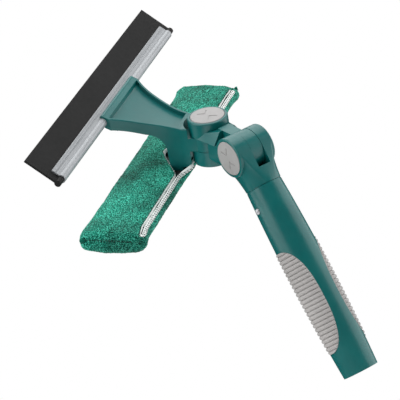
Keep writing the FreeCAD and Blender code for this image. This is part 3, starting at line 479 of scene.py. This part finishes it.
def pile(piece):
    """Looped pile: every point moves a little along its normal, in tufts about 1.5 mm across."""
    mesh = piece.data
    normals = [vertex.normal.copy() for vertex in mesh.vertices]
    for vertex, normal in zip(mesh.vertices, normals):
        here = to_head(vertex.co)
        tuft = noise.noise(here * 0.62)
        knot = noise.noise(here * 1.15 + Vector((31, 7, 3)))
        vertex.co += normal * (TUFT * tuft + KNOT * knot + PILE_RISE) * MM
    mesh.update()


def make_sleeve():
    """Makes the sleeve's fabric, filled out as cloth. Gives the surface that trim is sewn to, and the
    points round the sleeve at each place along it."""
    rows = sleeve_grid()
    wide = AROUND + 1
    piece = mesh_piece("washer_sleeve_fabric", [point for row in rows for point in row],
                       grid_faces(len(rows), wide), [MICROFIBRE, SHADED_INSIDE], None)
    last = (len(rows) - 1) * wide
    held = {r * wide + c for r in range(len(rows)) for c in (0, AROUND)}
    held |= set(range(wide)) | {last + c for c in range(wide)}
    for r, row in enumerate(rows):
        if eye(row[0].x) > OPEN_FROM:               # the fabric lies close to the bar at the opening
            held |= {r * wide + c for c in (1, 2, AROUND - 2, AROUND - 1)}
        front = min(point.y for point in row)       # and the bar's front edge holds it out
        held |= {r * wide + c for c in range(wide) if row[c].y < front + EDGE_HELD}
    inflate(piece, held)

    # dimples and slack of a worn sleeve, larger near the ends
    for vertex in piece.data.vertices:
        if vertex.index in held:
            continue
        here = to_head(vertex.co)
        slack = mix(*SLACK, smooth((abs(here.x - SLEEVE_X) - SLACK_FROM) / SLACK_OVER))
        wave = noise.noise(Vector((here.x * 0.045, here.y * 0.075, here.z * 0.11 + 5)))
        fine = noise.noise(Vector((here.x * 0.13 + 9, here.y * 0.16, here.z * 0.16)))
        vertex.co += vertex.normal * (wave * WAVE + fine * DIMPLE) * slack * MM
    piece.data.update()
    shape = [[to_head(piece.data.vertices[r * wide + c].co) for c in range(wide)]
             for r in range(len(rows))]

    finer = piece.modifiers.new("Finer", "SUBSURF")
    finer.levels = finer.render_levels = 2
    finer.boundary_smooth = "PRESERVE_CORNERS"
    apply_all(piece)
    pile(piece)
    surface = BVHTree.FromPolygons([vertex.co.copy() for vertex in piece.data.vertices],
                                   [tuple(face.vertices) for face in piece.data.polygons])
    thick = piece.modifiers.new("Thickness", "SOLIDIFY")
    thick.thickness = SKIN * MM
    thick.offset = -1
    # the inner faces take the darker copy of the microfibre, painted shade inside the sleeve
    thick.material_offset = 1
    apply_all(piece)
    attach(piece, "head")
    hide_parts("washer_sleeve")
    return surface, shape


surface, shape = make_sleeve()


def on_surface(point):
    """The nearest point of the fabric and its outward normal, in the head's frame."""
    place, normal, _, _ = surface.find_nearest(to_row(point))
    return to_head(place), HEAD_AXES.transposed() @ normal


def from_lip(row, distance):
    """The point of a row at a distance from its first point, measured along the row."""
    for first, second in zip(row, row[1:]):
        step = (second - first).length
        if distance <= step:
            return first.lerp(second, distance / step)
        distance -= step
    return row[-1]


# ---------------------------------------------------------------- hem tapes and stitches
TAPE_THICK, TAPE_LIFT = 0.4, 0.62
TAPE_REACH = (-126.0, 130.0)                             # the tapes' ends, far and near
REAR_FLAP = 2.4                                          # width of the rear tape outside the sleeve
EYE_NARROWING = 0.45                                     # how much narrower it is where the slit opens
STITCH_LENGTH, STITCH_PITCH, STITCH_RADIUS = 1.6, 3.0, 0.32
STITCH_SLANT = 0.25


def lip_rows(front):
    """Rows that start at the front or at the rear lip, wherever a tape runs."""
    found = []
    for row in shape:
        lip = row if front else row[::-1]
        if TAPE_REACH[0] < lip[0].x - SLEEVE_X < TAPE_REACH[1]:
            found.append(lip[:6])
    return found


def tape_section(row, flap):
    """Section of a tape folded over a lip: outer flap, if it has one, fold, inner flap."""
    points = []
    lip, normal = on_surface(row[0])
    out = (row[0] - from_lip(row, 1.5)).normalized()
    out = (out - normal * out.dot(normal)).normalized()
    fold = 0.75 if flap else 0.4
    if flap:
        for share, lift in ((1.0, 0.15), (0.9, TAPE_LIFT), (0.6, TAPE_LIFT), (0.3, TAPE_LIFT)):
            narrowed = flap * share * (1 - EYE_NARROWING * eye(row[0].x))
            place, up = on_surface(from_lip(row, narrowed))
            points.append(place + up * lift)
        points.append(lip + out * 0.25 + normal * (TAPE_LIFT * 0.9))
    else:
        points.append(lip - out * 0.4 + normal * 0.3)
    points.append(lip + out * fold - normal * 0.35)
    points.append(lip + out * fold - normal * (SKIN - 0.2))
    points.append(lip + out * 0.2 - normal * (SKIN + TAPE_LIFT * 0.8))
    for reach in (1.4, 3.0):
        place, normal = on_surface(from_lip(row, reach))
        points.append(place - normal * (SKIN + TAPE_LIFT))
    return points


def make_tape(name, front, flap):
    """A woven tape that binds one lip of the slit."""
    sections = [tape_section(row, flap) for row in lip_rows(front)]
    piece = mesh_piece(name, [point for line in sections for point in line],
                       grid_faces(len(sections), len(sections[0])), [TAPE])
    finer = piece.modifiers.new("Finer", "SUBSURF")
    finer.levels = finer.render_levels = 2
    thick = piece.modifiers.new("Thickness", "SOLIDIFY")
    thick.thickness = TAPE_THICK * MM
    thick.offset = 0
    apply_all(piece)
    return piece


def seam_line(rows, distance):
    """Points at a distance from the lip, one per row, with the fabric's normal at each."""
    line = []
    for row in rows:
        place, normal = on_surface(from_lip(row, distance))
        line.append((place + normal * (TAPE_LIFT + TAPE_THICK / 2), normal))
    return line


def stitch_places(line, pitch, phase=0.0):
    """Places every pitch along a line: (point, direction, normal)."""
    left = pitch * (0.5 + phase)
    for (first, normal), (second, _) in zip(line, line[1:]):
        step = (second - first).length
        while left < step:
            yield first.lerp(second, left / step), (second - first).normalized(), normal
            left += pitch
        left -= step


def add_stitch(points, faces, middle, way, normal, length, radius):
    """A short thread that dives into the cloth at both ends."""
    side = way.cross(normal).normalized()
    # along the stitch, up, and radius, as shares of its length and radius
    rings = ((-0.5, -1.1, 0.55), (-0.36, 0.15, 0.95), (0.0, 0.5, 1.0),
             (0.36, 0.15, 0.95), (0.5, -1.1, 0.55))
    base, count = len(points), 6
    for along, lift, share in rings:
        centre = middle + way * (along * length) + normal * (lift * radius)
        for step in range(count):
            angle = 2 * math.pi * step / count
            points.append(centre + (side * math.cos(angle) + normal * math.sin(angle)) * radius * share)
    for ring in range(len(rings) - 1):
        for step in range(count):
            after = (step + 1) % count
            faces.append((base + ring * count + step, base + ring * count + after,
                          base + (ring + 1) * count + after, base + (ring + 1) * count + step))
    faces.append(tuple(base + step for step in reversed(range(count))))
    top = base + (len(rings) - 1) * count
    faces.append(tuple(top + step for step in range(count)))


def make_stitches(name, lines):
    """One piece that holds every stitch of some seams; each stitch lies a little across its seam."""
    points, faces = [], []
    for line, phase in lines:
        for middle, way, normal in stitch_places(line, STITCH_PITCH, phase):
            side = way.cross(normal)
            add_stitch(points, faces, middle, (way + side * STITCH_SLANT).normalized(), normal,
                       STITCH_LENGTH, STITCH_RADIUS)
    return mesh_piece(name, points, faces, [THREAD])


rear_tape = make_tape("hem_tape_rear", False, REAR_FLAP)
make_tape("hem_tape_front", True, 0.0)
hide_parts("sleeve_tape")
rear_rows, front_rows = lip_rows(False), lip_rows(True)
make_stitches("hem_stitches_rear", [(seam_line(rear_rows, REAR_FLAP - 0.6), 0.0),
                                    (seam_line(rear_rows, 0.4), 0.4)])
make_stitches("hem_stitches_front", [(seam_line(front_rows, 0.7), 0.2)])

SEAM_HALF = 21.0                                         # half of the end seams' width
OVERLOCK_PITCH, OVERLOCK_LENGTH, OVERLOCK_SLANT = 2.3, 2.6, 0.35


def make_end_seam(name, row):
    """Overlock stitches across the seam that closes one end of the sleeve."""
    line = []
    for point in row[:AROUND // 2 + 1]:
        if abs(point.y - SLEEVE_Y) > SEAM_HALF:
            continue
        place, normal = on_surface(point)
        line.append((place + normal * 0.1, normal))
    points, faces = [], []
    for middle, way, normal in stitch_places(line, OVERLOCK_PITCH):
        across = (way.cross(normal) + way * OVERLOCK_SLANT).normalized()
        add_stitch(points, faces, middle, across, normal, OVERLOCK_LENGTH, STITCH_RADIUS)
    return mesh_piece(name, points, faces, [THREAD])


make_end_seam("end_seam_near", shape[-1])
make_end_seam("end_seam_far", shape[0])

# ---------------------------------------------------------------- springs
def add_spring(node, joint, body):
    """A copy of a spring that rides on a body, in place of the imported spring."""
    way = Vector(JOINTS[joint]["axis"]).normalized()
    piece = bpy.data.objects.new(node + "_coil", NODES[node].data.copy())
    bpy.context.scene.collection.objects.link(piece)
    ordered = sorted((vertex.co for vertex in piece.data.vertices), key=way.dot)
    moving, fixed = ordered[0].copy(), ordered[-1].copy()
    travel = max(JOINTS[joint]["range_m"])
    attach(piece, body)
    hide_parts(node)
    tuple(fixed)
    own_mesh(piece)


add_spring("handle_pivot_lock_spring", "handle_pivot_push", "handle")
add_spring("head_swivel_lock_spring", "head_swivel_push", "link")
add_spring("click_spring", "click_pin_push", "handle")

# ---------------------------------------------------------------- floor, light, camera
VIEW_RIGHT = Vector((-0.7955, 0.3927, -0.4615))
VIEW_DOWN = Vector((0.3824, -0.2654, -0.8851))
VIEW_AHEAD = VIEW_RIGHT.cross(VIEW_DOWN)
VIEW_OFFSET = Vector((8.381, -54.211, 1690.087))      # the swivel, seen from the camera
FOCAL_PX, FRAME_PX, SENSOR = 2062.5, 400, 36.0

camera_data = bpy.data.cameras.new("camera")
camera_data.sensor_width = SENSOR
camera_data.lens = FOCAL_PX / FRAME_PX * SENSOR
camera_data.clip_end = 20
camera = bpy.data.objects.new("camera", camera_data)
bpy.context.scene.collection.objects.link(camera)
eye_point = SWIVEL_POINT - (VIEW_RIGHT * VIEW_OFFSET.x + VIEW_DOWN * VIEW_OFFSET.y
                            + VIEW_AHEAD * VIEW_OFFSET.z) * MM
turn = Matrix((VIEW_RIGHT, -VIEW_DOWN, -VIEW_AHEAD)).transposed().to_4x4()
camera.matrix_world = Matrix.Translation(eye_point) @ turn
bpy.context.scene.camera = camera

FLOOR_LEVEL, FLOOR_RADIUS, FLOOR_STEPS = -0.25, 0.9, 96
rim = [Vector((FLOOR_RADIUS * math.cos(2 * math.pi * step / FLOOR_STEPS),
               FLOOR_RADIUS * math.sin(2 * math.pi * step / FLOOR_STEPS), FLOOR_LEVEL))
       for step in range(FLOOR_STEPS)]
floor_mesh = bpy.data.meshes.new("floor")
floor_mesh.from_pydata(rim, [], [tuple(range(FLOOR_STEPS))])
floor = bpy.data.objects.new("floor", floor_mesh)
bpy.context.scene.collection.objects.link(floor)
pale = Material("pale_floor")
pale.colour(pale.ramp(pale.noise(3.0), [(0.3, linear(236, 236, 236)), (0.7, linear(242, 242, 242))]))
floor_mesh.materials.append(pale.set(Roughness=0.9, Specular_IOR_Level=0.1).material)

MIDDLE = Vector((-0.01, -0.06, 0.2))                  # where the lights look


def softbox(name, across, up, ahead, distance, width, height, power):
    """A soft light that looks at the object, placed by the camera's own directions."""
    data = bpy.data.lights.new(name, "AREA")
    data.shape = "RECTANGLE"
    data.size, data.size_y = width, height
    data.energy = power
    light = bpy.data.objects.new(name, data)
    bpy.context.scene.collection.objects.link(light)
    way = (VIEW_RIGHT * across - VIEW_DOWN * up + VIEW_AHEAD * ahead).normalized()
    light.location = MIDDLE + way * distance
    light.rotation_euler = (-way).to_track_quat("-Z", "Y").to_euler()
    light.visible_camera = False


softbox("left", -1.0, 0.15, -0.25, 1.1, 1.6, 1.6, 16.0)
softbox("right", 1.0, 0.35, 0.1, 1.1, 1.6, 1.6, 13.0)
softbox("top", -0.15, 1.0, -0.25, 1.2, 1.2, 0.9, 8.0)
softbox("back_top", -0.13, 0.82, 0.56, 1.2, 1.2, 0.9, 5.5)

AIR = (0.97, 0.985, 1.0)
FILL, REFLECTED, BEHIND = 0.34, 0.03, 1.0

world = bpy.data.worlds.new("studio")
world.use_nodes = True
bpy.context.scene.world = world
tree = world.node_tree


def backdrop(colour, strength):
    node = tree.nodes.new("ShaderNodeBackground")
    node.inputs["Color"].default_value = colour + (1,)
    node.inputs["Strength"].default_value = strength
    return node.outputs["Background"]


def either(test, no, yes):
    node = tree.nodes.new("ShaderNodeMixShader")
    tree.links.new(test, node.inputs["Fac"])
    tree.links.new(no, node.inputs[1])
    tree.links.new(yes, node.inputs[2])
    return node.outputs["Shader"]


# white behind the object, soft fill on it, and dim surroundings in its reflections
path = tree.nodes.new("ShaderNodeLightPath")
around = either(path.outputs["Is Glossy Ray"], backdrop(AIR, FILL), backdrop(AIR, REFLECTED))
tree.links.new(either(path.outputs["Is Camera Ray"], around, backdrop((1.0, 1.0, 1.0), BEHIND)),
               tree.nodes["World Output"].inputs["Surface"])
bpy.context.scene.view_settings.view_transform = "Standard"

bpy.context.view_layer.update()
